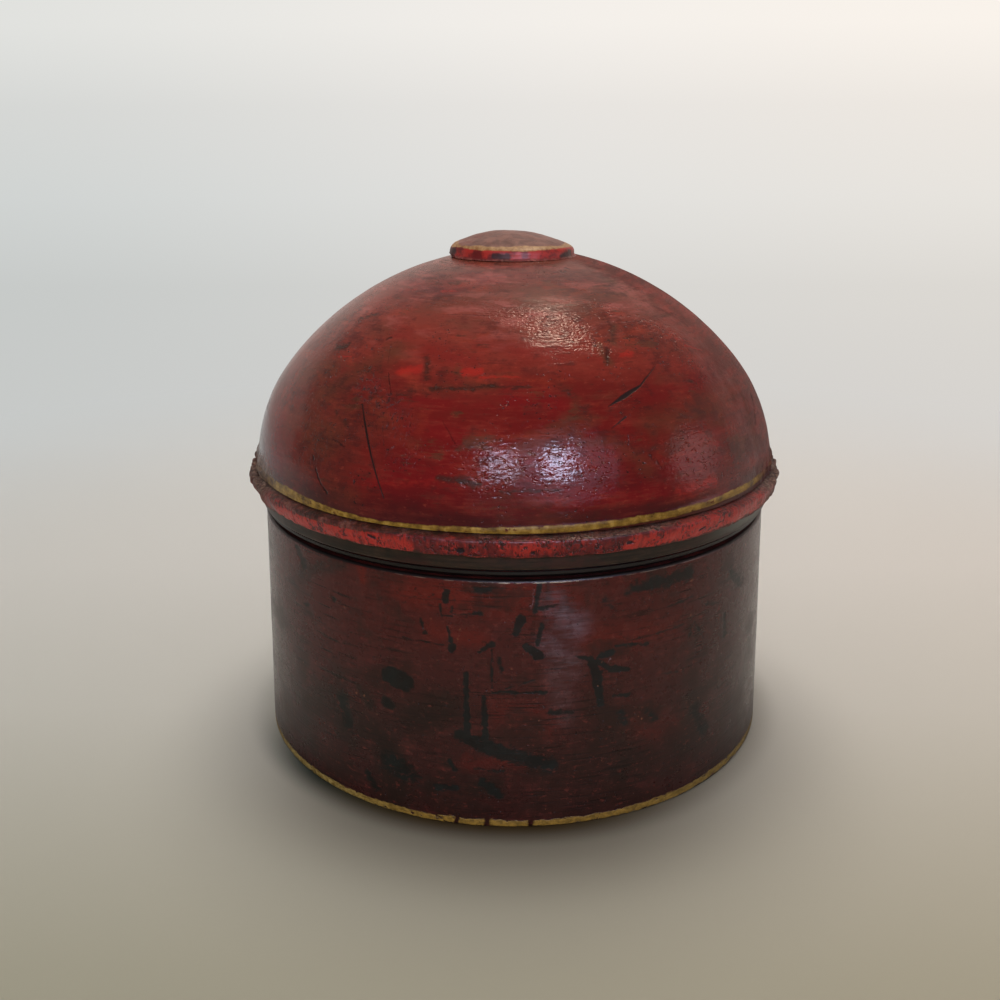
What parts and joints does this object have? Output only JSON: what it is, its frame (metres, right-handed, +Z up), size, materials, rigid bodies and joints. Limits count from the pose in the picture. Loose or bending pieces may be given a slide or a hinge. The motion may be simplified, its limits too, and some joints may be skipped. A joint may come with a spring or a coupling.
{
  "type": "betel box",
  "caption": "Round turned and lacquered wooden box for betel chewing, with a domed lift-off lid and an inner tray of small lidded cups.",
  "frame": {"origin": "middle of the foot, on the surface that the box stands on", "axes": "+Z up along the turning axis; +X and -X point at the two thumb notches in the drum's lip"},
  "size_m": [0.1906, 0.1906, 0.1765],
  "materials": {
    "drum_lacquer": "dark oxblood lac over turned wood, satin, worn",
    "dome_lacquer": "crimson lac over turned wood, gloss, worn",
    "bead_lacquer": "vermilion lac, chipped",
    "button_lacquer": "crimson lac with a gold edge, rubbed",
    "tray_lacquer": "dark lac, satin",
    "cup_lacquer": "red lac, satin",
    "cup_lid_lacquer": "red lac, gloss"
  },
  "bodies": {
    "drum": {"drum": "drum_lacquer"},
    "lid": {"lid_dome": "dome_lacquer", "rim_bead": "bead_lacquer", "lid_button": "button_lacquer"},
    "tray": {"tray": "tray_lacquer"},
    "cup_1": {"cup_1": "cup_lacquer"},
    "cup_lid_1": {"cup_lid_1": "cup_lid_lacquer"},
    "cup_2": {"cup_2": "cup_lacquer"},
    "cup_lid_2": {"cup_lid_2": "cup_lid_lacquer"},
    "cup_3": {"cup_3": "cup_lacquer"},
    "cup_lid_3": {"cup_lid_3": "cup_lid_lacquer"},
    "cup_4": {"cup_4": "cup_lacquer"},
    "cup_lid_4": {"cup_lid_4": "cup_lid_lacquer"},
    "cup_5": {"cup_5": "cup_lacquer"},
    "cup_lid_5": {"cup_lid_5": "cup_lid_lacquer"},
    "cup_6": {"cup_6": "cup_lacquer"},
    "cup_lid_6": {"cup_lid_6": "cup_lid_lacquer"},
    "cup_7": {"cup_7": "cup_lacquer"},
    "cup_lid_7": {"cup_lid_7": "cup_lid_lacquer"}
  },
  "joints": [
    {"name": "lid_lift", "type": "slide", "parent": "drum", "child": "lid", "axis": [0, 0, 1], "range_m": [0, 0.15]},
    {"name": "tray_lift", "type": "slide", "parent": "drum", "child": "tray", "axis": [0, 0, 1], "range_m": [0, 0.0525]},
    {"name": "cup_1_lift", "type": "slide", "parent": "tray", "child": "cup_1", "axis": [0, 0, 1], "range_m": [0, 0.03]},
    {"name": "cup_lid_1_lift", "type": "slide", "parent": "cup_1", "child": "cup_lid_1", "axis": [0, 0, 1], "range_m": [0, 0.018]},
    {"name": "cup_2_lift", "type": "slide", "parent": "tray", "child": "cup_2", "axis": [0, 0, 1], "range_m": [0, 0.03]},
    {"name": "cup_lid_2_lift", "type": "slide", "parent": "cup_2", "child": "cup_lid_2", "axis": [0, 0, 1], "range_m": [0, 0.018]},
    {"name": "cup_3_lift", "type": "slide", "parent": "tray", "child": "cup_3", "axis": [0, 0, 1], "range_m": [0, 0.03]},
    {"name": "cup_lid_3_lift", "type": "slide", "parent": "cup_3", "child": "cup_lid_3", "axis": [0, 0, 1], "range_m": [0, 0.018]},
    {"name": "cup_4_lift", "type": "slide", "parent": "tray", "child": "cup_4", "axis": [0, 0, 1], "range_m": [0, 0.03]},
    {"name": "cup_lid_4_lift", "type": "slide", "parent": "cup_4", "child": "cup_lid_4", "axis": [0, 0, 1], "range_m": [0, 0.018]},
    {"name": "cup_5_lift", "type": "slide", "parent": "tray", "child": "cup_5", "axis": [0, 0, 1], "range_m": [0, 0.03]},
    {"name": "cup_lid_5_lift", "type": "slide", "parent": "cup_5", "child": "cup_lid_5", "axis": [0, 0, 1], "range_m": [0, 0.018]},
    {"name": "cup_6_lift", "type": "slide", "parent": "tray", "child": "cup_6", "axis": [0, 0, 1], "range_m": [0, 0.03]},
    {"name": "cup_lid_6_lift", "type": "slide", "parent": "cup_6", "child": "cup_lid_6", "axis": [0, 0, 1], "range_m": [0, 0.018]},
    {"name": "cup_7_lift", "type": "slide", "parent": "tray", "child": "cup_7", "axis": [0, 0, 1], "range_m": [0, 0.03]},
    {"name": "cup_lid_7_lift", "type": "slide", "parent": "cup_7", "child": "cup_lid_7", "axis": [0, 0, 1], "range_m": [0, 0.018]}
  ],
  "couplings": [
    {"joint": "tray_lift", "follows": "lid_lift", "ratio": 0.35},
    {"joint": "cup_1_lift", "follows": "lid_lift", "ratio": 0.2},
    {"joint": "cup_lid_1_lift", "follows": "lid_lift", "ratio": 0.12},
    {"joint": "cup_2_lift", "follows": "lid_lift", "ratio": 0.2},
    {"joint": "cup_lid_2_lift", "follows": "lid_lift", "ratio": 0.12},
    {"joint": "cup_3_lift", "follows": "lid_lift", "ratio": 0.2},
    {"joint": "cup_lid_3_lift", "follows": "lid_lift", "ratio": 0.12},
    {"joint": "cup_4_lift", "follows": "lid_lift", "ratio": 0.2},
    {"joint": "cup_lid_4_lift", "follows": "lid_lift", "ratio": 0.12},
    {"joint": "cup_5_lift", "follows": "lid_lift", "ratio": 0.2},
    {"joint": "cup_lid_5_lift", "follows": "lid_lift", "ratio": 0.12},
    {"joint": "cup_6_lift", "follows": "lid_lift", "ratio": 0.2},
    {"joint": "cup_lid_6_lift", "follows": "lid_lift", "ratio": 0.12},
    {"joint": "cup_7_lift", "follows": "lid_lift", "ratio": 0.2},
    {"joint": "cup_lid_7_lift", "follows": "lid_lift", "ratio": 0.12}
  ]
}
